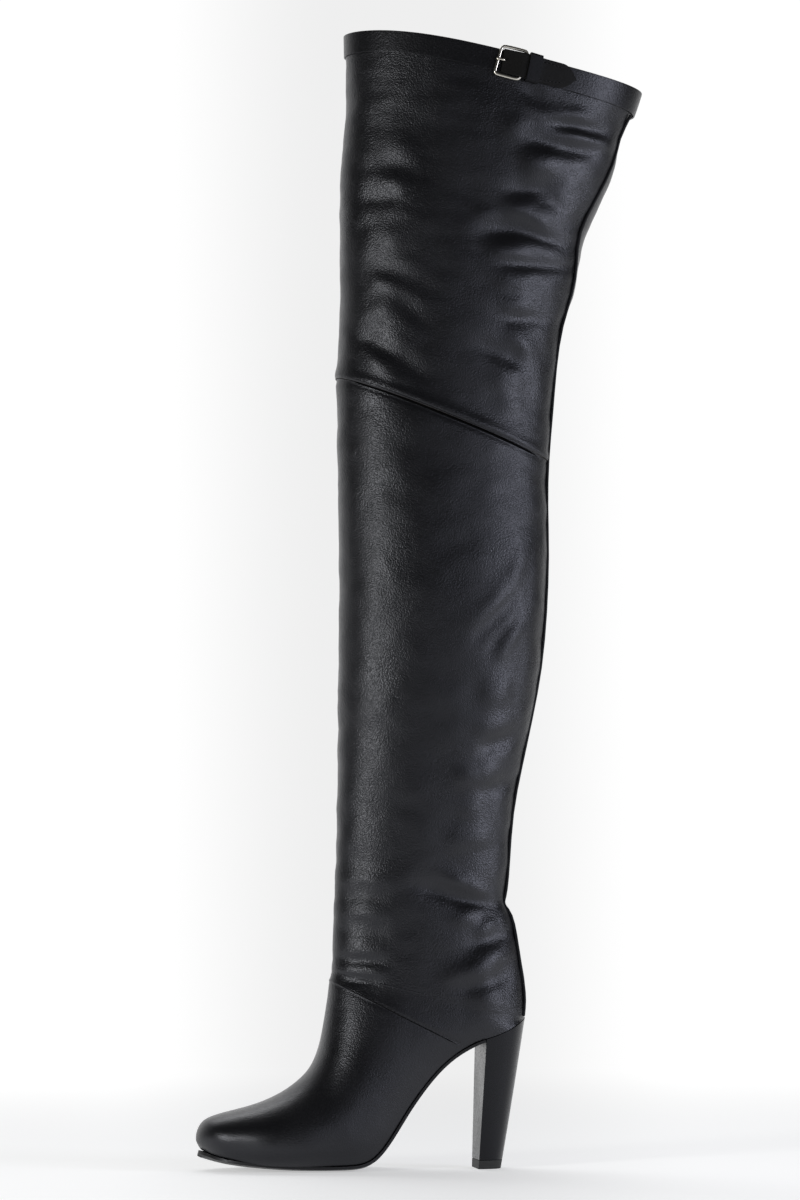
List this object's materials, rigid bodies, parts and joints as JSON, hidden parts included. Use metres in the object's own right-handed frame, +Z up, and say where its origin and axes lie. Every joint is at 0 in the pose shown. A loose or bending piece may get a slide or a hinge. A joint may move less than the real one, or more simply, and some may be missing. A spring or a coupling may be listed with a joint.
{
  "type": "thigh high boot",
  "caption": "Black leather thigh-high boot with a high block heel, a round toe and a buckled band around the collar.",
  "frame": {"origin": "on the floor, under the middle of the forefoot tread, on the foot's centre line", "axes": "+X towards the toe, +Y towards the wearer's left, which is the outer side, +Z up"},
  "size_m": [0.3158, 0.1128, 0.793],
  "materials": {
    "upper_leather": "smooth black calf, half gloss",
    "heel_leather": "glazed black leather, glossy",
    "sole_leather": "black dyed sole leather, waxed edge",
    "insole_leather": "matt black lining leather",
    "tip_rubber": "matt black rubber",
    "buckle_metal": "polished nickel plate"
  },
  "bodies": {
    "root": {"upper": "upper_leather", "thigh_shaft": "upper_leather", "top_band": "upper_leather", "back_seam": "upper_leather", "strap": "upper_leather", "keeper_loop": "upper_leather", "outsole": "sole_leather", "insole": "insole_leather", "heel": "heel_leather", "heel_tip": "tip_rubber", "buckle_frame": "buckle_metal", "buckle_prong": "buckle_metal"}
  },
  "joints": []
}
